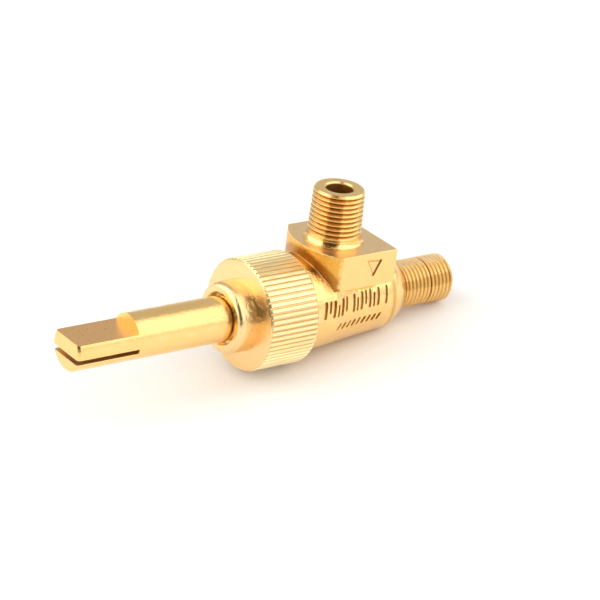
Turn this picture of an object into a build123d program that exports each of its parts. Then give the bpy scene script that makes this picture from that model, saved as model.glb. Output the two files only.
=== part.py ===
from build123d import *
import math
import os

# Angle needle valve: forged body, knurled bonnet nut, slotted D-stem and screw-driven needle.
#
# Frame: +Z runs up out of the tapered inlet spigot, whose mouth is centred on the origin.
# The main axis lies along Y, below the inlet: the control stem points to -Y and the outlet to +Y.
# Turned pieces are drawn as half profiles of (distance along the axis, radius), all in millimetres.

os.makedirs("parts", exist_ok=True)

# Overall layout
inlet_reach = 23.4                # main axis to inlet mouth
axis_z = -inlet_reach
stem_end = -59.4                  # outer end of the stem, along Y
outlet_end = 28.95                # end of the outlet spigot, along Y

# Threads: both pipe ends have 27 turns to the inch, the bonnet and the needle are metric fine
pipe_pitch = 25.4 / 27
inlet_crest = 0.2
inlet_depth = 0.52
outlet_crest = 0.46               # wide, because the crests of the outlet thread are turned down
outlet_depth = 0.3
inlet_tip_radius = 5.0            # small end of the 1/8 inch taper thread
inlet_taper = 1 / 32              # radius gained per millimetre, 1:16 on diameter
outlet_radius = 9.525 / 2         # 3/8 inch straight thread
fine_pitch = 1.0
fine_crest = fine_pitch / 8
fine_depth = 0.54
bonnet_thread_radius = 8.5
needle_thread_radius = 4.0
thread_gap = 0.06                 # radial clearance between mating threads
thread_lead_in = 0.5              # chamfer at the start of each fine thread

# Body forging
barrel_front = -9.3
barrel_front_radius = 9.4
barrel_front_chamfer = 0.3
barrel_rear = 9.3
barrel_rear_radius = 7.9
shoulder_middle = (13.75, 6.85)   # point on the rounded rear shoulder
spigot_start = 16.3
spigot_root_radius = 4.95
spigot_undercut = 0.35            # plain root before the outlet thread
spigot_lead_in = 0.15
outlet_chamfer = 0.75
outlet_mark = (22.79, 23.15)      # deep turned line, inside one of the outlet thread's grooves
outlet_mark_depth = 0.62
body_face = -16.2                 # front end of the body, under the bonnet nut
thread_relief_start = -10.5
thread_relief_radius = 7.8
land_front_top = 10.1             # reach of the land under the boss above the main axis, at the nut
land_rear_top = 10.4              # and at the boss's front corners
land_fade = 2.0                   # behind here the barrel is round about the main axis again
boss_half_width = 8.95
boss_ledge = 5.9                  # underside of the boss above the main axis
boss_top = 12.8
boss_side_front = -4.3
boss_nose = -7.65                 # the front of the boss bulges forward to here
boss_rear = 9.0
boss_front_fillet = 0.5
boss_rear_fillet = 0.2
boss_top_fillet = 0.15
boss_foot_fillet = 0.2            # where the boss's front wall runs down onto the land

# Inlet spigot
collar_radius = 5.85
collar_land = 0.15                # raised turned land around the collar
collar_fillet = 1.45
collar_top = 14.5                 # thread starts this far above the main axis
inlet_bore_radius = 2.65
mouth_chamfer = 0.35
bore_chamfer = 0.35

# Passages inside the body
seat_position = 3.2
seat_hole_radius = 1.0
seat_cone_radius = 2.2
outlet_bore_radius = 2.4
outlet_bore_start = 6.0
outlet_bore_chamfer = 0.5
chamber_radius = 3.3
chamber_start = -4.6
stem_pocket_radius = 5.3
stem_pocket_end = -12.8

# Bonnet nut
nut_rear = -9.52
nut_shoulder = -20.74
nut_mouth = -25.25
knurl_radius = 11.03
knurl_teeth = 62
knurl_depth = 0.3
knurl_chamfer = 0.4
neck_radius = 7.0
neck_rounding = 1.15
neck_corner_fillet = 0.35
shoulder_cone = 0.3               # the face round the neck leans back a little
mouth_radius = 5.05
mouth_depth = 1.9
neck_mouth_chamfer = 0.2
skirt_chamfer = 0.4               # inside edge of the nut's open end
journal_radius = 4.8              # stem journal inside the bonnet
nut_bore_radius = journal_radius + 0.05
collar_seat = -19.2               # inner shoulder that the stem collar works against
collar_pocket_radius = 6.8
gasket_seat = -17.0

# Stem
stem_radius = 4.5
stem_chamfer = 0.45
flat_height = 2.1                 # flat of the D above the main axis
flat_end = -46.15
slot_top = -0.8
slot_width = 1.0
slot_end = -46.0
bar_edge_fillet = 0.12            # long edges of the flat and of the slot
mouth_groove = (-25.3, -24.5)     # undercut where the stem enters the neck
mouth_groove_radius = 4.25
journal_start = -23.6
ring_grooves = (-22.4, -20.5)     # centres of the two O-ring grooves
ring_groove_width = 1.5
ring_section = 1.2
stem_collar_radius = 6.5
stem_collar = (-18.5, -17.05)
stem_shoulder = -15.1             # inner end of the journal
tongue_end = -10.6
tongue_thickness = 2.4
tongue_width = 6.6
tongue_fillet = 0.3

# Washers and gasket
washer_outer_radius = 6.6
washer_bore_gap = 0.2
thrust_washer_thickness = 0.6
spring_washer_thickness = 0.3
spring_washer_height = 0.72
spring_washer_gap = 0.06          # between its low edge and the body
gasket_gap = 0.15                 # left inside and outside the gasket

# Needle
needle_travel = 1.5
needle_end_gap = 0.3              # left between needle and stem when fully open
needle_rear = stem_shoulder + needle_travel + needle_end_gap
needle_thread_end = -5.6
needle_slot_end = -8.3
needle_slot_gap = 0.08            # clearance each side of the tongue
needle_neck_radius = 2.3
needle_neck_end = 0.4
needle_neck_chamfer = 0.4
tip_radius = 1.25
tip_socket = -3.2
tip_slope = 0.36                  # radius lost per millimetre of the metering cone
tip_point_radius = 0.15
seat_gap = 0.03                   # the cone stops just short of biting into the seat edge
tip_cone_start = seat_position - (tip_radius - seat_hole_radius + seat_gap) / tip_slope
tip_point = tip_cone_start + (tip_radius - tip_point_radius) / tip_slope

profile_plane = Plane(origin=(0, 0, axis_z), x_dir=(0, 1, 0), z_dir=(1, 0, 0))
main_axis = Axis((0, 0, axis_z), (0, 1, 0))


def v_thread(start, end, radius, pitch, crest, depth):
    """Half profile of an outside thread: V grooves with flat crests, between start and end.

    radius is a function of the position, so that a taper thread follows its cone."""
    count = int((end - start) / pitch)
    points = []
    for turn in range(count):
        groove = start + pitch * (turn + 0.5) + ((end - start) - pitch * count) / 2
        half = (pitch - crest) / 2
        points.append((groove - half, radius(groove - half)))
        points.append((groove, radius(groove) - depth))
        points.append((groove + half, radius(groove + half)))
    return points


def constant(value):
    """A radius that is the same all along a straight thread."""
    return lambda position: value


def barrel_radius(position):
    """Radius of the forged barrel, which narrows to the rear with its draft."""
    share = (position - barrel_front) / (barrel_rear - barrel_front)
    return barrel_front_radius + share * (barrel_rear_radius - barrel_front_radius)


def land_section(position, top):
    """Radius and rise of the circle that touches the barrel underneath and reaches up to top."""
    bottom = barrel_radius(position)
    return (top + bottom) / 2, (top - bottom) / 2


def inlet_cone(height):
    """Crest radius of the taper thread at a height in the frame, zero at the mouth."""
    return inlet_tip_radius - height * inlet_taper


# ------------------------------------------------------------------ stamped marks
mark_depth = 0.28
mark_lean = 83                    # degrees from the main axis
mark_row_start = -7.1
mark_row_pitch = 1.08
mark_row_height = 3.5
mark_row_middle = 2.5             # above the main axis
# One entry for each place along the row: the bar's width, and where it starts and ends as shares of
# the row's height; a width of 0 leaves a gap
mark_bars = (
    (0.72, 0, 1), (0.5, 0.3, 1), (0.66, 0, 1), (0.5, 0, 0.72), (0.7, 0, 1), (0.56, 0.2, 1),
    (0, 0, 0), (0.7, 0, 1), (0.52, 0, 0.75), (0.74, 0, 1), (0.5, 0.25, 1), (0.66, 0, 1),
    (0.54, 0, 0.8), (0.72, 0, 1), (0, 0, 0), (0.62, 0, 1),
)
small_row_start = -3.2
small_row_pitch = 1.32
small_row_height = 1.7
small_row_middle = -1.6
small_mark_widths = (0.5, 0.62, 0.5, 0.66, 0.54, 0.66, 0.6, 0.72, 0.66)
small_mark_lean = 62
mark_cover = 6                    # the marks reach this far past the barrel's ends
mark_floor = (
    (barrel_front - mark_cover, land_section(barrel_front, land_front_top)[0] - mark_depth),
    (barrel_front, land_section(barrel_front, land_front_top)[0] - mark_depth),
    (boss_side_front, land_section(boss_side_front, land_rear_top)[0] - mark_depth),
    (land_fade, barrel_radius(land_fade) - mark_depth),
    (barrel_rear + mark_cover, barrel_radius(barrel_rear + mark_cover) - mark_depth),
)

with BuildPart() as stamped_marks:
    with BuildSketch(Plane.YZ.offset(boss_half_width + 2)):
        lean = math.radians(mark_lean)
        for place, (width, low, high) in enumerate(mark_bars):
            shift = mark_row_height * ((low + high) / 2 - 0.5)
            if width:
                with Locations((mark_row_start + mark_row_pitch * place + shift * math.cos(lean),
                                axis_z + mark_row_middle + shift * math.sin(lean))):
                    SlotOverall(mark_row_height * (high - low), width, rotation=mark_lean)
        for place, width in enumerate(small_mark_widths):
            with Locations((small_row_start + small_row_pitch * place, axis_z + small_row_middle)):
                SlotOverall(small_row_height, width, rotation=small_mark_lean)
    extrude(amount=-boss_half_width)
    with BuildSketch(profile_plane):
        with BuildLine():
            Polyline(
                (barrel_front - mark_cover, 0),
                *mark_floor,
                (barrel_rear + mark_cover, 0),
                close=True,
            )
        make_face()
    revolve(axis=main_axis, mode=Mode.SUBTRACT)

# ------------------------------------------------------------------ valve body
collar_top_z = axis_z + collar_top
boss_top_z = axis_z + boss_top
inlet_thread = v_thread(
    collar_top_z, -mouth_chamfer, inlet_cone, pipe_pitch, inlet_crest, inlet_depth
)
outlet_thread_start = spigot_start + spigot_undercut + spigot_lead_in
outlet_thread = v_thread(
    outlet_thread_start, outlet_end - outlet_chamfer, constant(outlet_radius),
    pipe_pitch, outlet_crest, outlet_depth,
)
bonnet_thread = v_thread(
    body_face + thread_lead_in, thread_relief_start, constant(bonnet_thread_radius),
    fine_pitch, fine_crest, fine_depth,
)


def on_boss_foot(edge):
    """Whether an edge is where the boss's bulging front wall meets the land."""
    middle = edge @ 0.5
    reach = math.hypot(middle.X, middle.Z - axis_z)
    on_land = land_front_top - 0.3 < reach < land_rear_top
    return on_land and abs(middle.Y - boss_nose) < 0.05 and abs(middle.X) < 0.1


arrow_corners = ((2.0, 11.3), (5.15, 11.0), (3.7, 8.2))     # along Y, above the main axis
arrow_strokes = ((0, 1, 0.3, 0.16), (1, 2, 0.62, 0.3), (2, 0, 0.25, 0.08))

with BuildPart() as valve_body:
    # Barrel, bonnet thread and outlet spigot, all turned about the main axis
    with BuildSketch(profile_plane):
        with BuildLine():
            Polyline(
                (body_face, 0),
                (body_face, bonnet_thread_radius - thread_lead_in),
                (body_face + thread_lead_in, bonnet_thread_radius),
                *bonnet_thread,
                (thread_relief_start, bonnet_thread_radius),
                (thread_relief_start + thread_lead_in, thread_relief_radius),
                (land_fade, thread_relief_radius),
                (land_fade, barrel_radius(land_fade)),
                (barrel_rear, barrel_rear_radius),
            )
            ThreePointArc(
                (barrel_rear, barrel_rear_radius), shoulder_middle, (spigot_start, spigot_root_radius)
            )
            Polyline(
                (spigot_start, spigot_root_radius),
                (spigot_start, outlet_radius - outlet_depth),
                (spigot_start + spigot_undercut, outlet_radius - outlet_depth),
                (outlet_thread_start, outlet_radius),
                *outlet_thread,
                (outlet_end - outlet_chamfer, outlet_radius),
                (outlet_end, outlet_radius - outlet_chamfer),
                (outlet_end, 0),
                (body_face, 0),
            )
        make_face()
    revolve(axis=main_axis)
    # Front of the barrel: round underneath, swelling at the top into the land that carries the boss
    front_radius, front_rise = land_section(barrel_front, land_front_top)
    corner_radius, corner_rise = land_section(boss_side_front, land_rear_top)
    for position, radius, rise in (
        (barrel_front, front_radius - barrel_front_chamfer, front_rise),
        (barrel_front + barrel_front_chamfer, front_radius, front_rise),
        (boss_side_front, corner_radius, corner_rise),
        (land_fade, barrel_radius(land_fade), 0),
    ):
        with BuildSketch(Plane.XZ.offset(-position)):
            with Locations((0, axis_z + rise)):
                Circle(radius)
    loft(ruled=True)
    # Square boss with a bulging front
    with BuildSketch(Plane.XY.offset(axis_z + boss_ledge)) as footprint:
        with BuildLine():
            ThreePointArc((-boss_half_width, boss_side_front), (0, boss_nose),
                          (boss_half_width, boss_side_front))
            Polyline((boss_half_width, boss_side_front), (boss_half_width, boss_rear),
                     (-boss_half_width, boss_rear), (-boss_half_width, boss_side_front))
        make_face()
        footprint_corners = footprint.vertices().group_by(Axis.Y)
        fillet(footprint_corners[0], boss_front_fillet)
        fillet(footprint_corners[-1], boss_rear_fillet)
    extrude(amount=boss_top - boss_ledge)
    boss_top_edges = valve_body.edges().group_by(Axis.Z)[-1]
    fillet(boss_top_edges, boss_top_fillet)
    # Rounding where the boss's front wall runs down onto the land
    foot_edges = valve_body.edges().filter_by(on_boss_foot)
    fillet(foot_edges, boss_foot_fillet)
    # Inlet spigot with its collar, turned about the inlet axis
    with BuildSketch(Plane.XZ):
        with BuildLine():
            Polyline(
                (0, boss_top_z - 1),
                (collar_radius, boss_top_z - 1),
                (collar_radius, boss_top_z + collar_land),
            )
            RadiusArc(
                (collar_radius, boss_top_z + collar_land),
                (inlet_cone(collar_top_z), boss_top_z + collar_land + collar_fillet),
                collar_fillet,
            )
            Polyline(
                (inlet_cone(collar_top_z), boss_top_z + collar_land + collar_fillet),
                (inlet_cone(collar_top_z), collar_top_z),
                *[(radius, height) for height, radius in inlet_thread],
                (inlet_cone(-mouth_chamfer), -mouth_chamfer),
                (inlet_cone(0) - mouth_chamfer, 0),
                (0, 0),
                (0, boss_top_z - 1),
            )
        make_face()
    revolve(axis=Axis.Z)
    # Stem pocket, needle thread bore, chamber, seat and outlet passage
    with BuildSketch(profile_plane):
        with BuildLine():
            Polyline(
                (body_face, 0),
                (body_face, stem_pocket_radius),
                (stem_pocket_end, stem_pocket_radius),
                (stem_pocket_end, needle_thread_radius + thread_gap),
                (chamber_start, needle_thread_radius + thread_gap),
                (chamber_start, chamber_radius),
                (seat_position - seat_cone_radius + seat_hole_radius, chamber_radius),
                (seat_position - seat_cone_radius + seat_hole_radius, seat_cone_radius),
                (seat_position, seat_hole_radius),
                (outlet_bore_start, seat_hole_radius),
                (outlet_bore_start, outlet_bore_radius),
                (outlet_end - outlet_bore_chamfer, outlet_bore_radius),
                (outlet_end, outlet_bore_radius + outlet_bore_chamfer),
                (outlet_end, 0),
                close=True,
            )
        make_face()
    revolve(axis=main_axis, mode=Mode.SUBTRACT)
    # Deep turned line among the outlet threads
    with BuildSketch(profile_plane):
        with BuildLine():
            Polyline(
                (outlet_mark[0], outlet_radius + 1),
                (outlet_mark[0], outlet_radius - outlet_mark_depth),
                (outlet_mark[1], outlet_radius - outlet_mark_depth),
                (outlet_mark[1], outlet_radius + 1),
                close=True,
            )
        make_face()
    revolve(axis=main_axis, mode=Mode.SUBTRACT)
    # Inlet passage down to the chamber
    with BuildSketch(Plane.XZ):
        with BuildLine():
            Polyline(
                (0, axis_z),
                (inlet_bore_radius, axis_z),
                (inlet_bore_radius, -bore_chamfer),
                (inlet_bore_radius + bore_chamfer, 0),
                (0, 0),
                close=True,
            )
        make_face()
    revolve(axis=Axis.Z, mode=Mode.SUBTRACT)
    # Triangular arrow struck into the side of the boss, deeper on one side
    for first, second, width, depth in arrow_strokes:
        (y1, z1), (y2, z2) = arrow_corners[first], arrow_corners[second]
        with BuildSketch(Plane.YZ.offset(boss_half_width)):
            with Locations(((y1 + y2) / 2, axis_z + (z1 + z2) / 2)):
                SlotOverall(math.hypot(y2 - y1, z2 - z1) + width, width,
                            rotation=math.degrees(math.atan2(z2 - z1, y2 - y1)))
        extrude(amount=-depth, mode=Mode.SUBTRACT)
    add(stamped_marks.part, mode=Mode.SUBTRACT)
valve_body.part.label = "valve_body"
export_step(valve_body.part, "parts/valve_body.step")

# ------------------------------------------------------------------ bonnet nut
tooth_angle = 2 * math.pi / knurl_teeth
knurl_root = knurl_radius - knurl_depth
tooth_outline = ((0.11, knurl_root), (0.24, knurl_radius), (0.76, knurl_radius), (0.89, knurl_root))
knurl_outline = [
    (radius * math.cos((tooth + share) * tooth_angle),
     axis_z + radius * math.sin((tooth + share) * tooth_angle))
    for tooth in range(knurl_teeth)
    for share, radius in tooth_outline
]
nut_thread_radius = bonnet_thread_radius + thread_gap
nut_thread = v_thread(
    body_face + thread_lead_in, thread_relief_start, constant(nut_thread_radius),
    fine_pitch, fine_crest, fine_depth,
)

with BuildPart() as bonnet_nut:
    # Straight knurl, chamfered at both ends
    with BuildSketch(Plane.XZ.offset(-nut_rear)):
        with BuildLine():
            Polyline(*knurl_outline, close=True)
        make_face()
    extrude(amount=nut_rear - nut_shoulder + shoulder_cone)
    with BuildSketch(profile_plane):
        with BuildLine():
            Polyline(
                (nut_shoulder - shoulder_cone, 0),
                (nut_shoulder - shoulder_cone, neck_radius),
                (nut_shoulder, knurl_radius - knurl_chamfer),
                (nut_shoulder + knurl_chamfer, knurl_radius),
                (nut_rear - knurl_chamfer, knurl_radius),
                (nut_rear, knurl_radius - knurl_chamfer),
                (nut_rear, 0),
                close=True,
            )
        make_face()
    revolve(axis=main_axis, mode=Mode.INTERSECT)
    # Neck with its rounded mouth
    with BuildSketch(profile_plane) as neck_profile:
        with BuildLine():
            Polyline(
                (nut_shoulder + 1, 0),
                (nut_shoulder + 1, neck_radius + neck_corner_fillet),
                (nut_shoulder - shoulder_cone, neck_radius + neck_corner_fillet),
                (nut_shoulder - shoulder_cone, neck_radius),
                (nut_mouth, neck_radius),
                (nut_mouth, 0),
                close=True,
            )
        make_face()
        outer_corners = neck_profile.vertices().group_by(Axis.Y)[1].sort_by(Axis.X)
        fillet(outer_corners[0], neck_rounding)
        fillet(outer_corners[-1], neck_corner_fillet)
    revolve(axis=main_axis)
    # Bore for the stem, pocket for its collar, and the thread over the body
    with BuildSketch(profile_plane):
        with BuildLine():
            Polyline(
                (nut_mouth, 0),
                (nut_mouth, mouth_radius + neck_mouth_chamfer),
                (nut_mouth + neck_mouth_chamfer, mouth_radius),
                (nut_mouth + mouth_depth, mouth_radius),
                (nut_mouth + mouth_depth, nut_bore_radius),
                (collar_seat, nut_bore_radius),
                (collar_seat, collar_pocket_radius),
                (gasket_seat, collar_pocket_radius),
                (gasket_seat, nut_thread_radius),
                *nut_thread,
                (nut_rear - skirt_chamfer, nut_thread_radius),
                (nut_rear, nut_thread_radius + skirt_chamfer),
                (nut_rear, 0),
                close=True,
            )
        make_face()
    revolve(axis=main_axis, mode=Mode.SUBTRACT)
bonnet_nut.part.label = "bonnet_nut"
export_step(bonnet_nut.part, "parts/bonnet_nut.step")

# ------------------------------------------------------------------ stem
ring_gap = 0.02                   # left outside each O-ring, and half of it inside
ring_groove_radius = nut_bore_radius - 1.5 * ring_gap - ring_section
ring_groove_points = [
    point
    for centre in ring_grooves
    for point in (
        (centre - ring_groove_width / 2, journal_radius),
        (centre - ring_groove_width / 2, ring_groove_radius),
        (centre + ring_groove_width / 2, ring_groove_radius),
        (centre + ring_groove_width / 2, journal_radius),
    )
]

with BuildPart() as stem:
    with BuildSketch(profile_plane):
        with BuildLine():
            Polyline(
                (stem_end, 0),
                (stem_end, stem_radius - stem_chamfer),
                (stem_end + stem_chamfer, stem_radius),
                (mouth_groove[0], stem_radius),
                (mouth_groove[0], mouth_groove_radius),
                (mouth_groove[1], mouth_groove_radius),
                (mouth_groove[1], stem_radius),
                (journal_start, stem_radius),
                (journal_start, journal_radius),
                *ring_groove_points,
                (stem_collar[0], journal_radius),
                (stem_collar[0], stem_collar_radius),
                (stem_collar[1], stem_collar_radius),
                (stem_collar[1], journal_radius),
                (stem_shoulder, journal_radius),
                (stem_shoulder, 0),
                close=True,
            )
        make_face()
    revolve(axis=main_axis)
    # Tongue that drives the needle
    with BuildSketch(Plane.XZ.offset(-stem_shoulder)) as tongue_section:
        with Locations((0, axis_z)):
            Rectangle(tongue_width, tongue_thickness)
        fillet(tongue_section.vertices(), tongue_fillet)
    extrude(amount=stem_shoulder - tongue_end)
    # Flat of the D, with a square shoulder
    with BuildSketch(Plane.XZ.offset(-flat_end)):
        with Locations((0, axis_z + flat_height)):
            Rectangle(3 * stem_radius, 2 * stem_radius, align=(Align.CENTER, Align.MIN))
    extrude(amount=flat_end - stem_end + 1, mode=Mode.SUBTRACT)
    # Saw slot below the flat
    with BuildSketch(Plane.XZ.offset(-slot_end)):
        with Locations((0, axis_z + slot_top)):
            Rectangle(3 * stem_radius, slot_width, align=(Align.CENTER, Align.MAX))
    extrude(amount=slot_end - stem_end + 1, mode=Mode.SUBTRACT)
    bar_edges = stem.edges().filter_by(Axis.Y).filter_by_position(Axis.Y, stem_end, slot_end)
    fillet(bar_edges, bar_edge_fillet)
stem.part.label = "stem"
export_step(stem.part, "parts/stem.step")

# ------------------------------------------------------------------ O-rings on the stem
ring_middle_radius = ring_groove_radius + ring_gap / 2 + ring_section / 2

for name, centre in zip(("stem_o_ring_outer", "stem_o_ring_inner"), ring_grooves):
    with BuildPart() as stem_o_ring:
        with BuildSketch(profile_plane):
            with Locations((centre, ring_middle_radius)):
                Circle(ring_section / 2)
        revolve(axis=main_axis)
    stem_o_ring.part.label = name
    export_step(stem_o_ring.part, f"parts/{name}.step")

# ------------------------------------------------------------------ washers and gasket
washer_bore_radius = journal_radius + washer_bore_gap

with BuildPart() as thrust_washer:
    with BuildSketch(Plane.XZ.offset(-collar_seat)):
        with Locations((0, axis_z)):
            Circle(washer_outer_radius)
            Circle(washer_bore_radius, mode=Mode.SUBTRACT)
    extrude(amount=-thrust_washer_thickness)
thrust_washer.part.label = "thrust_washer"
export_step(thrust_washer.part, "parts/thrust_washer.step")

with BuildPart() as spring_washer:
    # Dished disc between the stem collar and the end of the body
    low_edge = body_face - spring_washer_gap
    high_edge = low_edge - spring_washer_height
    with BuildSketch(profile_plane):
        with BuildLine():
            Polyline(
                (low_edge, washer_outer_radius),
                (low_edge - spring_washer_thickness, washer_outer_radius),
                (high_edge, washer_bore_radius),
                (high_edge + spring_washer_thickness, washer_bore_radius),
                close=True,
            )
        make_face()
    revolve(axis=main_axis)
spring_washer.part.label = "spring_washer"
export_step(spring_washer.part, "parts/spring_washer.step")

with BuildPart() as bonnet_gasket:
    with BuildSketch(Plane.XZ.offset(-gasket_seat)):
        with Locations((0, axis_z)):
            Circle(bonnet_thread_radius - gasket_gap)
            Circle(collar_pocket_radius + gasket_gap, mode=Mode.SUBTRACT)
    extrude(amount=gasket_seat - body_face)
bonnet_gasket.part.label = "bonnet_gasket"
export_step(bonnet_gasket.part, "parts/bonnet_gasket.step")

# ------------------------------------------------------------------ needle
needle_thread = v_thread(
    needle_rear + thread_lead_in, needle_thread_end - thread_lead_in,
    constant(needle_thread_radius), fine_pitch, fine_crest, fine_depth,
)
slot_across = tongue_thickness + 2 * needle_slot_gap

with BuildPart() as needle_carrier:
    with BuildSketch(profile_plane):
        with BuildLine():
            Polyline(
                (needle_rear, 0),
                (needle_rear, needle_thread_radius - thread_lead_in),
                (needle_rear + thread_lead_in, needle_thread_radius),
                *needle_thread,
                (needle_thread_end - thread_lead_in, needle_thread_radius),
                (needle_thread_end, needle_thread_radius - thread_lead_in),
                (needle_thread_end, needle_neck_radius),
                (needle_neck_end - needle_neck_chamfer, needle_neck_radius),
                (needle_neck_end, needle_neck_radius - needle_neck_chamfer),
                (needle_neck_end, 0),
                close=True,
            )
        make_face()
    revolve(axis=main_axis)
    # Slot across the rear that the stem's tongue slides in
    with BuildSketch(Plane.XZ.offset(-needle_slot_end)):
        with Locations((0, axis_z)):
            Rectangle(3 * needle_thread_radius, slot_across)
    extrude(amount=needle_slot_end - needle_rear + 1, mode=Mode.SUBTRACT)
    # Socket for the needle
    with BuildSketch(Plane.XZ.offset(-needle_neck_end)):
        with Locations((0, axis_z)):
            Circle(tip_radius)
    extrude(amount=needle_neck_end - tip_socket, mode=Mode.SUBTRACT)
needle_carrier.part.label = "needle_carrier"
export_step(needle_carrier.part, "parts/needle_carrier.step")

with BuildPart() as needle:
    with BuildSketch(profile_plane):
        with BuildLine():
            Polyline(
                (tip_socket, 0),
                (tip_socket, tip_radius),
                (tip_cone_start, tip_radius),
                (tip_point, tip_point_radius),
                (tip_point, 0),
                close=True,
            )
        make_face()
    revolve(axis=main_axis)
needle.part.label = "needle"
export_step(needle.part, "parts/needle.step")
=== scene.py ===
import math

import bpy
from mathutils import Matrix, Vector


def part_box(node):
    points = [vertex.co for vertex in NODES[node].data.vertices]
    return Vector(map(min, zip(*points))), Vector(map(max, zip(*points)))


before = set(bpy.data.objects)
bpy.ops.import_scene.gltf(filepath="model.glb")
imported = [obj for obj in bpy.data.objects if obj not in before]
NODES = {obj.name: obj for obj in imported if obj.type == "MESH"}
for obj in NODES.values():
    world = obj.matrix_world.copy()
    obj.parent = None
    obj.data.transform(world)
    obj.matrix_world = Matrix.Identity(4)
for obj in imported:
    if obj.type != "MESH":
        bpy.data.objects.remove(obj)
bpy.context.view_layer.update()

MM = 0.001
AXIS_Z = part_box("stem")[0].z / 2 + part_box("stem")[1].z / 2     # height of the main axis
NUT_LOW, NUT_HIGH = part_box("bonnet_nut")
BODY_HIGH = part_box("valve_body")[1]

# Sizes of the CAD part that the materials are laid out by, in millimetres. Places along the main axis are
# measured from the inlet's axis, and heights from the main axis.
STEM_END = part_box("stem")[0].y / MM
OUTLET_END = BODY_HIGH.y / MM
BARREL_FRONT, BARREL_REAR = -9.3, 9.3
BARREL_FRONT_RADIUS, BARREL_REAR_RADIUS = 9.4, 7.9
LAND_FRONT_TOP, LAND_REAR_TOP = 10.1, 10.4
LAND_FADE = 2.0                    # the land above the barrel fades out here
BOSS_HALF = 8.95                   # half its width
BOSS_SIDE_FRONT = -4.3             # front end of the boss's flat sides
BOSS_NOSE = -7.65                  # how far forward its front wall bulges
BOSS_TOP = 12.8
COLLAR_RADIUS = 5.85
COLLAR_TOP = 14.5                  # the inlet's thread starts here
INLET_TIP_RADIUS = 5.0
INLET_TAPER = 1 / 32               # radius gained per millimetre below the mouth
INLET_BORE = 2.65
OUTLET_START = 16.3
OUTLET_RADIUS = 9.525 / 2
OUTLET_CHAMFER = 0.75
OUTLET_BORE = 2.4
OUTLET_BORE_START = 6.0
NUT_SHOULDER = -20.74
KNURL_RADIUS = 11.03
KNURL_CHAMFER = 0.4
STEM_RADIUS = 4.5
FLAT_HEIGHT, FLAT_END = 2.1, -46.15
SLOT_LOW, SLOT_HIGH, SLOT_END = -1.8, -0.8, -46.0
MARKS_FRONT, MARKS_REAR, MARKS_TOP = -8.8, 12.0, 5.3
ARROW_FRONT, ARROW_REAR, ARROW_LOW, ARROW_HIGH = 1.4, 6.1, 6.9, 12.3

# The arc of the boss's front wall, through its nose and its front corners
NOSE_MIDDLE = (BOSS_HALF ** 2 + BOSS_SIDE_FRONT ** 2 - BOSS_NOSE ** 2) / (2 * (BOSS_SIDE_FRONT - BOSS_NOSE))
NOSE_RADIUS = NOSE_MIDDLE - BOSS_NOSE


def barrel_radius(position):
    """Radius of the barrel's underside, which narrows to the rear."""
    share = (position - BARREL_FRONT) / (BARREL_REAR - BARREL_FRONT)
    return BARREL_FRONT_RADIUS + share * (BARREL_REAR_RADIUS - BARREL_FRONT_RADIUS)


# (place, top) along the barrel: each of its sections is a circle from the underside up to the top
BARREL_TOPS = (
    (BARREL_FRONT, LAND_FRONT_TOP), (BOSS_SIDE_FRONT, LAND_REAR_TOP),
    (LAND_FADE, barrel_radius(LAND_FADE)), (BARREL_REAR, BARREL_REAR_RADIUS),
)


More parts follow.
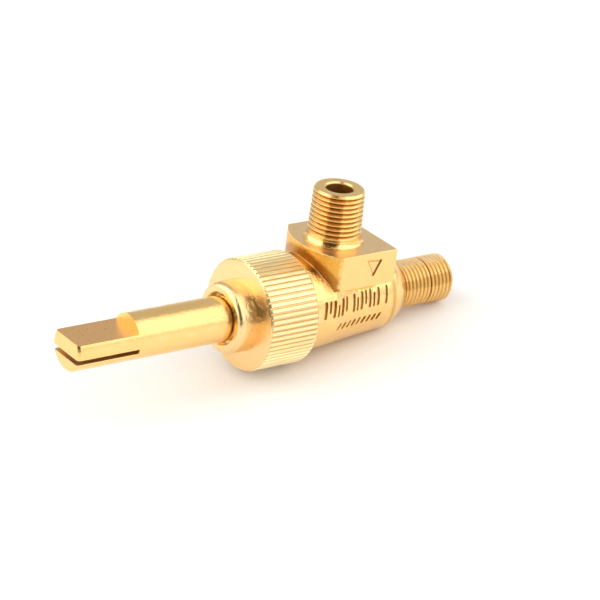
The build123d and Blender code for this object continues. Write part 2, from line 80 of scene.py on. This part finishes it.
# ---------------------------------------------------------------- node graphs
class Graph:
    """Helpers that add nodes to one node tree and hand back their outputs."""

    def __init__(self, tree):
        self.tree = tree

    def put(self, socket, value):
        """Links a socket to an output, or sets it to a constant."""
        if isinstance(value, bpy.types.NodeSocket):
            self.tree.links.new(value, socket)
        else:
            socket.default_value = value

    def math(self, operation, first, second=None):
        node = self.tree.nodes.new("ShaderNodeMath")
        node.operation = operation
        self.put(node.inputs[0], first)
        if second is not None:
            self.put(node.inputs[1], second)
        return node.outputs[0]

    def vector(self, operation, first, second):
        node = self.tree.nodes.new("ShaderNodeVectorMath")
        node.operation = operation
        self.put(node.inputs[0], first)
        self.put(node.inputs[1], second)
        return node.outputs["Value" if operation == "DOT_PRODUCT" else "Vector"]

    def combine(self, x, y, z):
        node = self.tree.nodes.new("ShaderNodeCombineXYZ")
        for socket, value in zip(node.inputs, (x, y, z)):
            self.put(socket, value)
        return node.outputs[0]

    def reach(self, first, second):
        """The length of a flat vector."""
        squares = self.math("ADD", self.math("MULTIPLY", first, first),
                            self.math("MULTIPLY", second, second))
        return self.math("SQRT", squares)

    def step(self, value, low, high):
        """Rises smoothly from 0 at low to 1 at high, or falls where low is above high."""
        node = self.tree.nodes.new("ShaderNodeMapRange")
        node.interpolation_type = "SMOOTHSTEP"
        self.put(node.inputs["Value"], value)
        rising = low < high
        node.inputs["From Min"].default_value = min(low, high)
        node.inputs["From Max"].default_value = max(low, high)
        node.inputs["To Min"].default_value = 0 if rising else 1
        node.inputs["To Max"].default_value = 1 if rising else 0
        return node.outputs[0]

    def track(self, value, points):
        """A value that runs in straight lines through (position, level) points."""
        total = points[0][1]
        for (start, before), (end, after) in zip(points, points[1:]):
            node = self.tree.nodes.new("ShaderNodeMapRange")
            self.put(node.inputs["Value"], value)
            node.inputs["From Min"].default_value = start
            node.inputs["From Max"].default_value = end
            node.inputs["To Min"].default_value = 0
            node.inputs["To Max"].default_value = after - before
            total = self.math("ADD", node.outputs[0], total)
        return total

    def both(self, *masks):
        """The product of masks: 1 only where all of them are."""
        result = masks[0]
        for mask in masks[1:]:
            result = self.math("MULTIPLY", result, mask)
        return result

    def either(self, *masks):
        """The largest of masks."""
        result = masks[0]
        for mask in masks[1:]:
            result = self.math("MAXIMUM", result, mask)
        return result

    def less(self, mask):
        """The opposite of a mask."""
        return self.math("SUBTRACT", 1.0, mask)

    def spread(self, value, low, high):
        """Moves a 0 to 1 pattern to between low and high."""
        node = self.tree.nodes.new("ShaderNodeMapRange")
        self.put(node.inputs["Value"], value)
        node.inputs["To Min"].default_value = low
        node.inputs["To Max"].default_value = high
        return node.outputs[0]

    def blend(self, share, first, second):
        """A colour between first and second."""
        node = self.tree.nodes.new("ShaderNodeMix")
        node.data_type = "RGBA"
        self.put(node.inputs["Factor"], share)
        for socket, value in ((node.inputs[6], first), (node.inputs[7], second)):
            self.put(socket, value if isinstance(value, bpy.types.NodeSocket) else (*value, 1))
        return node.outputs[2]


class Surface(Graph):
    """One material's node graph. Its coordinates are the part's own, in millimetres."""

    def __init__(self, name):
        self.material = bpy.data.materials.new(name)
        self.material.use_nodes = True
        super().__init__(self.material.node_tree)
        self.tree.nodes.clear()
        self.shader = self.tree.nodes.new("ShaderNodeBsdfPrincipled")
        output = self.tree.nodes.new("ShaderNodeOutputMaterial")
        self.tree.links.new(self.shader.outputs[0], output.inputs[0])
        place = self.tree.nodes.new("ShaderNodeTexCoord").outputs["Object"]
        self.place = self.vector("MULTIPLY", place, (1 / MM,) * 3)
        split = self.tree.nodes.new("ShaderNodeSeparateXYZ")
        self.tree.links.new(self.place, split.inputs[0])
        self.x, self.y, self.z = split.outputs
        self.height = self.math("SUBTRACT", self.z, AXIS_Z / MM)
        self.main_radius = self.reach(self.x, self.height)
        self.main_angle = self.math("ARCTAN2", self.x, self.height)
        self.inlet_radius = self.reach(self.x, self.y)
        self.inlet_angle = self.math("ARCTAN2", self.x, self.y)

    def noise(self, scale, detail=2.0, place=None, rough=0.5):
        """Soft noise around 0.5, with scale features to the millimetre."""
        node = self.tree.nodes.new("ShaderNodeTexNoise")
        self.put(node.inputs["Vector"], self.place if place is None else place)
        node.inputs["Scale"].default_value = scale
        node.inputs["Detail"].default_value = detail
        node.inputs["Roughness"].default_value = rough
        return node.outputs[0]

    def add_up(self, *layers):
        """The sum of (pattern, amount) layers."""
        total = 0.0
        for pattern, amount in layers:
            total = self.math("ADD", self.math("MULTIPLY", pattern, amount), total)
        return total

    def paint(self, color, *layers):
        """Lays (mask, share, colour) layers over a colour, one after another."""
        for mask, share, tone in layers:
            color = self.blend(self.math("MULTIPLY", mask, share), color, tone)
        return color

    def finish(self, color, roughness, relief=None, metallic=1.0):
        """Sets the shader. relief is a height pattern in millimetres."""
        self.put(self.shader.inputs["Base Color"], color)
        self.put(self.shader.inputs["Roughness"], roughness)
        self.shader.inputs["Metallic"].default_value = metallic
        if relief is not None:
            bump = self.tree.nodes.new("ShaderNodeBump")
            bump.inputs["Distance"].default_value = MM
            bump.inputs["Strength"].default_value = 1.0
            self.put(bump.inputs["Height"], relief)
            self.put(self.shader.inputs["Normal"], bump.outputs[0])
        return self.material


# ---------------------------------------------------------------- materials
BRASS = (0.93, 0.60, 0.215)
BRASS_PALE = (0.94, 0.67, 0.29)
BRASS_BRIGHT = (0.97, 0.84, 0.49)
BRASS_DEEP = (0.86, 0.45, 0.12)
BRASS_TAN = (0.94, 0.68, 0.38)
BRASS_MILLED = (0.81, 0.47, 0.20)
BRASS_AMBER = (0.88, 0.46, 0.075)
BROWN = (0.46, 0.20, 0.035)
UMBER = (0.52, 0.27, 0.06)
OXIDE = (0.34, 0.15, 0.035)


def turned_rings(s, along, scale):
    """Fine rings left by a lathe tool: noise stretched round the axis, sampled along it."""
    place = s.combine(s.math("MULTIPLY", along, scale), 0.0, s.math("MULTIPLY", s.main_angle, 0.25))
    return s.noise(1.0, 3.0, place, 0.6)


def body_brass():
    s = Surface("body_brass")
    cloud = s.noise(0.35, 3.0)
    fine = s.noise(4.0, 4.0, rough=0.65)

    # How far a point is below the barrel's surface, or above it where negative
    radius = s.track(s.y, [(place, (top + barrel_radius(place)) / 2) for place, top in BARREL_TOPS])
    rise = s.track(s.y, [(place, (top - barrel_radius(place)) / 2) for place, top in BARREL_TOPS])
    sunk = s.math("SUBTRACT", radius, s.reach(s.x, s.math("SUBTRACT", s.height, rise)))

    # Inside the struck marks and the arrow
    in_marks = s.both(
        s.step(sunk, 0.05, 0.16), s.step(s.x, 2, 3), s.step(s.height, MARKS_TOP, MARKS_TOP - 0.2),
        s.step(s.y, MARKS_FRONT, MARKS_FRONT + 0.3), s.step(s.y, MARKS_REAR, MARKS_REAR - 0.4),
    )
    in_arrow = s.both(
        s.step(s.x, BOSS_HALF - 0.03, BOSS_HALF - 0.09), s.step(s.x, BOSS_HALF - 0.65, BOSS_HALF - 0.45),
        s.step(s.y, ARROW_FRONT, ARROW_FRONT + 0.2), s.step(s.y, ARROW_REAR, ARROW_REAR - 0.2),
        s.step(s.height, ARROW_LOW, ARROW_LOW + 0.2), s.step(s.height, ARROW_HIGH, ARROW_HIGH - 0.2),
    )
    struck = s.either(in_marks, in_arrow)

    # Outlet spigot: brown in the thread's grooves and on its end, scuffed, with a painted highlight along
    # its top and a painted dark reflection along the side that faces the camera, both with wavy edges
    outlet = s.step(s.y, OUTLET_START - 0.05, OUTLET_START + 0.05)
    outlet_root = s.both(
        outlet, s.step(s.main_radius, OUTLET_RADIUS - 0.04, OUTLET_RADIUS - 0.26),
        s.step(s.y, OUTLET_END - OUTLET_CHAMFER + 0.2, OUTLET_END - OUTLET_CHAMFER),
    )
    outlet_rim = s.step(s.y, OUTLET_END - OUTLET_CHAMFER - 0.05, OUTLET_END - OUTLET_CHAMFER + 0.1)
    scuff = s.both(s.step(s.noise(1.3, 5.0, rough=0.7), 0.46, 0.66), outlet)
    # Turn round the main axis with a wavy offset, bounding the painted highlight on top and the painted
    # dark reflection on the camera side
    outlet_band_place = s.combine(s.math("MULTIPLY", s.main_angle, 4.6), s.math("MULTIPLY", s.y, 0.16), 0.0)
    outlet_band_turn = s.math("ADD", s.main_angle, s.spread(s.noise(1.2, 4.0, outlet_band_place, 0.65), -0.35, 0.35))
    outlet_painted_dark_reflection = s.both(outlet, s.step(outlet_band_turn, 0.88, 1.08), s.step(outlet_band_turn, 1.5, 1.32))
    outlet_painted_top_highlight = s.both(outlet, s.step(outlet_band_turn, 0.42, 0.3))

    # Inlet spigot: brown in the thread's grooves, and a painted dark reflection in a band down the side
    # between -Y and +X, which faces the camera, stronger on the collar
    inlet = s.step(s.height, BOSS_TOP + 0.1, BOSS_TOP + 0.2)
    inlet_crest = s.math("SUBTRACT", INLET_TIP_RADIUS, s.math("MULTIPLY", s.z, INLET_TAPER))
    inlet_root = s.both(
        s.step(s.height, COLLAR_TOP - 0.1, COLLAR_TOP), s.step(s.z, -0.3, -0.45),
        s.step(s.math("SUBTRACT", inlet_crest, s.inlet_radius), 0.1, 0.5), s.step(s.inlet_radius, 4.0, 4.2),
    )
    band_turn = s.math("ADD", s.inlet_angle, s.spread(s.noise(0.9, 3.0), -0.16, 0.16))
    # Painted dark reflection down the camera-facing side, with more of it on the collar
    inlet_painted_dark_reflection = s.both(
        inlet, s.step(band_turn, 1.93, 2.1), s.step(band_turn, 2.66, 2.5), s.step(s.inlet_radius, 4.2, 4.4),
    )
    collar_painted_dark_reflection = s.both(inlet_painted_dark_reflection, s.step(s.height, COLLAR_TOP + 0.1, COLLAR_TOP - 0.2))
    # Painted shade inside the inlet's and outlet's bores
    bore_painted_shade = s.either(
        s.both(s.step(s.inlet_radius, INLET_BORE + 0.15, INLET_BORE + 0.05), s.step(s.height, 3.5, 4.0)),
        s.both(s.step(s.main_radius, OUTLET_BORE + 0.2, OUTLET_BORE + 0.1),
               s.step(s.y, OUTLET_BORE_START - 0.2, OUTLET_BORE_START)),
    )

    # Boss: milled top, an amber painted reflection of the nut on its front face, painted shade low on that
    # face and on the land in front of it, and edges that are paler in patches, partly rubbed and partly
    # painted highlight
    top = s.both(s.step(s.height, BOSS_TOP - 0.1, BOSS_TOP - 0.01),
                 s.step(s.inlet_radius, COLLAR_RADIUS, COLLAR_RADIUS + 0.05))
    mill = s.noise(1.0, 2.0, s.combine(
        s.math("MULTIPLY", s.inlet_radius, 4.0), s.math("MULTIPLY", s.inlet_angle, 0.4), 0.0))
    nose_reach = s.reach(s.x, s.math("SUBTRACT", s.y, NOSE_MIDDLE))
    # The boss's front face, where an amber painted reflection of the nut is laid
    wall_painted_reflection = s.both(
        s.step(nose_reach, NOSE_RADIUS - 0.28, NOSE_RADIUS - 0.13),
        s.step(s.y, BOSS_SIDE_FRONT + 0.4, BOSS_SIDE_FRONT + 0.2),
        s.step(s.height, BOSS_TOP - 0.01, BOSS_TOP - 0.1), s.step(sunk, -0.05, -0.2),
    )
    # Painted shade on the lower part of the boss's front face, near the barrel
    wall_foot_painted_shade = s.both(wall_painted_reflection, s.step(s.add_up((sunk, 1.0), (s.noise(1.6, 3.0), 0.7)), -1.9, -1.0))
    # Painted shade on the land just in front of the boss's front face
    crease_painted_shade = s.both(
        s.step(nose_reach, NOSE_RADIUS + 1.97, NOSE_RADIUS + 0.37),
        s.step(s.y, BOSS_SIDE_FRONT + 0.3, BOSS_SIDE_FRONT - 0.2),
        s.step(s.height, 5.0, 6.2), s.less(wall_painted_reflection), s.step(s.height, BOSS_TOP - 0.1, BOSS_TOP - 0.3),
    )
    # Edges of the boss made paler in patches: partly rubbed brass, partly painted edge highlights
    corner_reach = s.reach(s.math("SUBTRACT", s.math("ABSOLUTE", s.x), BOSS_HALF),
                           s.math("SUBTRACT", s.y, BOSS_SIDE_FRONT))
    top_edge = s.both(s.step(s.height, BOSS_TOP - 0.5, BOSS_TOP - 0.05), s.less(top))
    front_edge = s.both(s.step(corner_reach, 0.6, 0.3), s.step(s.height, 6.2, 6.6))
    rubbed_and_highlit_edges = s.both(s.either(top_edge, front_edge), s.step(s.height, BOSS_TOP + 0.05, BOSS_TOP),
                  s.step(s.noise(1.1, 4.0), 0.36, 0.5))
    speck = s.both(s.step(s.noise(2.6, 3.0), 0.64, 0.72), s.less(outlet))

    color = s.paint(
        s.blend(cloud, BRASS, BRASS_PALE),
        # Painted reflection of the nut on the boss's front face
        (wall_painted_reflection, 0.95, BRASS_AMBER),
        # Painted shade low on that face
        (wall_foot_painted_shade, 0.85, BROWN),
        # Painted shade on the land in front of it
        (crease_painted_shade, 0.65, BROWN),
        (speck, 0.35, BROWN),
        (outlet, 0.3, BRASS_AMBER),
        (scuff, 0.5, BRASS_PALE),
        # Painted highlight on the outlet's top, then painted dark reflection on its camera side
        (outlet_painted_top_highlight, 0.75, BRASS_TAN),
        (outlet_painted_dark_reflection, 0.55, UMBER),
        # Painted dark reflection on the inlet, and more on its collar
        (inlet_painted_dark_reflection, 0.6, BROWN),
        (collar_painted_dark_reflection, 0.5, BROWN),
        (top, 0.85, BRASS_TAN),
        (s.both(top, s.step(mill, 0.5, 0.62)), 0.22, BRASS_AMBER),
        (struck, 0.5, UMBER),
        (outlet_root, 0.2, BROWN),
        (outlet_rim, 0.45, BROWN),
        (inlet_root, 0.75, BROWN),
        # Painted shade inside the bores
        (bore_painted_shade, 0.8, BROWN),
        # Paler edges: partly rubbed, partly painted highlight
        (rubbed_and_highlit_edges, 0.7, BRASS_PALE),
    )
    roughness = s.add_up(
        (s.spread(fine, 0.09, 0.2), 1.0), (top, 0.2), (outlet, 0.16), (wall_painted_reflection, 0.16),
        (s.either(struck, bore_painted_shade), 0.25), (inlet, 0.06),
    )
    relief = s.add_up(
        (s.noise(0.6, 2.0), 0.09),
        (s.both(top, mill), 0.03),
        (s.both(s.either(outlet, inlet), fine), 0.012),
        (s.both(outlet, s.noise(1.3, 5.0, rough=0.7)), 0.3),
        (s.both(outlet, s.noise(4.5, 3.0)), 0.07),
        (s.both(s.less(inlet), s.noise(1.9, 4.0)), 0.06),
        (s.both(wall_painted_reflection, s.noise(1.4, 4.0, rough=0.65)), 0.09),
        (speck, -0.03),
    )
    return s.finish(color, roughness, relief)


def nut_brass():
    s = Surface("nut_brass")
    cloud = s.noise(0.4, 3.0)
    fine = s.noise(5.0, 4.0, rough=0.65)
    knurl = s.both(s.step(s.main_radius, KNURL_RADIUS - 0.73, KNURL_RADIUS - 0.43),
                   s.step(s.y, NUT_SHOULDER + 0.14, NUT_SHOULDER + 0.24))
    groove = s.both(knurl, s.step(s.main_radius, KNURL_RADIUS - 0.05, KNURL_RADIUS - 0.31))
    rings = turned_rings(s, s.math("ADD", s.y, s.main_radius), 7.0)
    spots = s.step(s.noise(2.8, 3.0), 0.54, 0.68)
    dents = s.step(s.noise(1.5, 3.0), 0.58, 0.7)
    color = s.paint(
        s.blend(cloud, BRASS, BRASS_PALE),
        (spots, 0.4, BRASS_DEEP),
        (knurl, 0.75, BRASS_BRIGHT),
        (s.less(knurl), 0.5, BRASS_TAN),
        (groove, 0.45, BROWN),
    )
    roughness = s.add_up((s.spread(fine, 0.19, 0.31), 1.0), (knurl, 0.05))
    relief = s.add_up((rings, 0.010), (fine, 0.006), (s.noise(0.9, 3.0), 0.05), (dents, -0.03))
    return s.finish(color, roughness, relief)


def stem_brass():
    s = Surface("stem_brass")
    cloud = s.noise(0.3, 3.0)
    fine = s.noise(5.0, 4.0, rough=0.65)
    flat = s.both(
        s.step(s.height, FLAT_HEIGHT - 0.08, FLAT_HEIGHT - 0.02),
        s.step(s.height, FLAT_HEIGHT + 0.1, FLAT_HEIGHT + 0.04),
        s.step(s.y, FLAT_END + 0.05, FLAT_END - 0.15),
    )
    # Painted shade inside the slot across the stem's end
    slot_painted_shade = s.both(
        s.step(s.height, SLOT_LOW - 0.04, SLOT_LOW), s.step(s.height, SLOT_HIGH + 0.04, SLOT_HIGH),
        s.step(s.y, SLOT_END + 0.1, SLOT_END - 0.1), s.step(s.y, STEM_END + 0.1, STEM_END + 0.2),
        s.step(s.main_radius, STEM_RADIUS - 0.02, STEM_RADIUS - 0.2),
    )
    pits = s.both(s.step(s.noise(2.2, 2.0), 0.62, 0.7), flat)
    spots = s.step(s.noise(3.4, 3.0), 0.54, 0.68)
    rings = turned_rings(s, s.y, 6.0)
    milled = s.noise(1.0, 3.0, s.combine(s.math("MULTIPLY", s.y, 7.0), s.math("MULTIPLY", s.x, 0.6), 0.0))
    color = s.paint(
        s.blend(cloud, BRASS, BRASS_PALE),
        (flat, 0.85, BRASS_MILLED),
        (spots, 0.45, BRASS_DEEP),
        (pits, 0.5, OXIDE),
        # Painted shade inside the slot
        (slot_painted_shade, 0.5, UMBER),
    )
    roughness = s.add_up((s.spread(fine, 0.16, 0.28), 1.0), (flat, 0.15), (slot_painted_shade, 0.25))
    relief = s.add_up(
        (s.both(rings, s.less(flat)), 0.007), (s.both(milled, flat), 0.014), (pits, -0.03), (spots, -0.012),
        (s.noise(0.8, 3.0), 0.05),
    )
    return s.finish(color, roughness, relief)


def plain(name, dark, light, rough_low, rough_high, metallic, grain):
    """A small inner piece: two tones in fine grain, with a little relief."""
    s = Surface(name)
    fine = s.noise(grain, 4.0, rough=0.6)
    relief = s.math("MULTIPLY", fine, 0.01)
    return s.finish(s.blend(fine, dark, light), s.spread(fine, rough_low, rough_high), relief, metallic)


RUBBER = plain("seal_rubber", (0.012, 0.012, 0.013), (0.03, 0.03, 0.032), 0.45, 0.65, 0.0, 6.0)
MATERIALS = {
    "valve_body": body_brass(),
    "bonnet_nut": nut_brass(),
    "stem": stem_brass(),
    "stem_o_ring_outer": RUBBER,
    "stem_o_ring_inner": RUBBER,
    "thrust_washer": plain("washer_plastic", (0.70, 0.69, 0.64), (0.85, 0.84, 0.80), 0.35, 0.5, 0.0, 3.0),
    "spring_washer": plain("spring_steel", (0.42, 0.41, 0.39), (0.62, 0.61, 0.58), 0.2, 0.35, 1.0, 5.0),
    "bonnet_gasket": plain("gasket_fibre", (0.14, 0.05, 0.035), (0.30, 0.13, 0.09), 0.7, 0.9, 0.0, 8.0),
    "needle_carrier": plain("needle_brass", BRASS_DEEP, BRASS_PALE, 0.18, 0.34, 1.0, 4.0),
    "needle": plain("needle_steel", (0.48, 0.47, 0.45), (0.66, 0.65, 0.62), 0.12, 0.25, 1.0, 6.0),
}
for node_name, material in MATERIALS.items():
    mesh = NODES[node_name].data
    mesh.materials.clear()
    mesh.materials.append(material)


# ---------------------------------------------------------------- floor
# The valve lies with its nut and the end of its outlet on the floor, so the floor slopes in this frame.
FLOOR_SIZE = 6                     # metres
FLOOR_GAP = 0.02 * MM              # keeps the floor just clear of the two touching edges
PAPER_DARK, PAPER_LIGHT = (0.90, 0.885, 0.875), (0.93, 0.915, 0.905)

nut_touch = Vector((0, NUT_HIGH.y - KNURL_CHAMFER * MM, NUT_LOW.z))
outlet_touch = Vector((0, BODY_HIGH.y - OUTLET_CHAMFER * MM, AXIS_Z - OUTLET_RADIUS * MM))
slope = math.atan2(outlet_touch.z - nut_touch.z, outlet_touch.y - nut_touch.y)
FLOOR_TURN = Matrix.Rotation(slope, 4, "X")
FLOOR_UP = FLOOR_TURN @ Vector((0, 0, 1))

bpy.ops.mesh.primitive_plane_add(size=FLOOR_SIZE)
floor = bpy.context.object
floor.name = "floor"
floor.matrix_world = Matrix.Translation(nut_touch - FLOOR_UP * FLOOR_GAP) @ FLOOR_TURN
paper = Surface("paper")
paper.finish(paper.blend(paper.noise(0.02, 2.0), PAPER_DARK, PAPER_LIGHT), 0.6, metallic=0.0)
floor.data.materials.append(paper.material)


# ---------------------------------------------------------------- studio
# A white tent lit from both sides and above, open towards the camera. Directions are measured from the
# floor: round from the camera's side, to the right as the camera sees it, and up.
AZIMUTH, ELEVATION, ROLL = math.radians(50.92), math.radians(24.0), math.radians(-7.378)
MIDDLE = Vector((0, -10 * MM, AXIS_Z))     # the place on the main axis that the fill light points at
TENT = 0.64                        # brightness of its plain cloth
TENT_COLOR = (1, 0.985, 0.96, 1)
FILL_SIZE, FILL_DISTANCE = 0.7, 0.8     # metres
FILL_CLIMB = 0.7                   # how far the fill light rises for each step towards the camera
FILL_ENERGY = 2.6
FILL_COLOR = (1, 0.97, 0.95)

back = Vector((math.sin(AZIMUTH) * math.cos(ELEVATION), -math.cos(AZIMUTH) * math.cos(ELEVATION),
               math.sin(ELEVATION)))
toward = (back - FLOOR_UP * back.dot(FLOOR_UP)).normalized()
rightward = FLOOR_UP.cross(toward)

world = bpy.data.worlds.new("studio")
bpy.context.scene.world = world
world.use_nodes = True
sky = Graph(world.node_tree)
way = world.node_tree.nodes.new("ShaderNodeTexCoord").outputs["Generated"]
ahead = sky.vector("DOT_PRODUCT", way, tuple(toward))
aside = sky.vector("DOT_PRODUCT", way, tuple(rightward))
above = sky.vector("DOT_PRODUCT", way, tuple(FLOOR_UP))
turn = sky.math("MULTIPLY", sky.math("ARCTAN2", aside, ahead), math.degrees(1))
climb = sky.math("MULTIPLY", sky.math("ARCSINE", above), math.degrees(1))


def panel(left, right, low, high, soft):
    """Mask of a soft-edged patch of the tent, between two turns and two climbs, in degrees."""
    return sky.both(sky.step(turn, left - soft, left + soft), sky.step(turn, right + soft, right - soft),
                    sky.step(climb, low - soft, low + soft), sky.step(climb, high + soft, high - soft))


# Two lit sides and the lit top, and the opening that the camera looks through
brightness = TENT
for mask, patch in (
    (panel(-125, -40, 4, 66, 7), 2.2),
    (panel(26, 130, 6, 82, 7), 1.75),
    (sky.step(climb, 62, 78), 1.4),
    (panel(-40, 24, -20, 84, 5), 0.1),
):
    change = sky.math("MULTIPLY", sky.math("SUBTRACT", patch, brightness), mask)
    brightness = sky.math("ADD", brightness, change)
backdrop = world.node_tree.nodes["Background"]
backdrop.inputs["Color"].default_value = TENT_COLOR
sky.put(backdrop.inputs["Strength"], brightness)

# A wide soft light over the camera that lifts the shadows on the floor, kept out of the reflections
fill_data = bpy.data.lights.new("fill", "AREA")
fill_data.size = FILL_SIZE
fill_data.energy = FILL_ENERGY
fill_data.color = FILL_COLOR
fill = bpy.data.objects.new("fill", fill_data)
bpy.context.scene.collection.objects.link(fill)
fill_way = (toward + FLOOR_UP * FILL_CLIMB).normalized()
fill.location = MIDDLE + fill_way * FILL_DISTANCE
fill.rotation_mode = "QUATERNION"
fill.rotation_quaternion = fill_way.to_track_quat("Z", "Y")
fill.visible_glossy = False


# ---------------------------------------------------------------- camera
CAMERA_DISTANCE = 536.7 * MM
CAMERA_RIGHT, CAMERA_UP = 2.551 * MM, -3.363 * MM      # how far it is moved sideways and up
CAMERA_LENS = 167.47
SENSOR_WIDTH = 36

horizon = Vector((math.cos(AZIMUTH), math.sin(AZIMUTH), 0))
rise = back.cross(horizon)
right = horizon * math.cos(ROLL) - rise * math.sin(ROLL)
up = horizon * math.sin(ROLL) + rise * math.cos(ROLL)
target = MIDDLE + Vector((0, 0, 5 * MM))
spot = target + back * CAMERA_DISTANCE + right * CAMERA_RIGHT + up * CAMERA_UP
camera_data = bpy.data.cameras.new("camera")
camera_data.lens = CAMERA_LENS
camera_data.sensor_width = SENSOR_WIDTH
camera_data.clip_start, camera_data.clip_end = 0.01, 20
camera = bpy.data.objects.new("camera", camera_data)
bpy.context.scene.collection.objects.link(camera)
camera.matrix_world = Matrix((
    (right.x, up.x, back.x, spot.x),
    (right.y, up.y, back.y, spot.y),
    (right.z, up.z, back.z, spot.z),
    (0, 0, 0, 1),
))
bpy.context.scene.camera = camera
bpy.context.scene.view_settings.view_transform = "Standard"
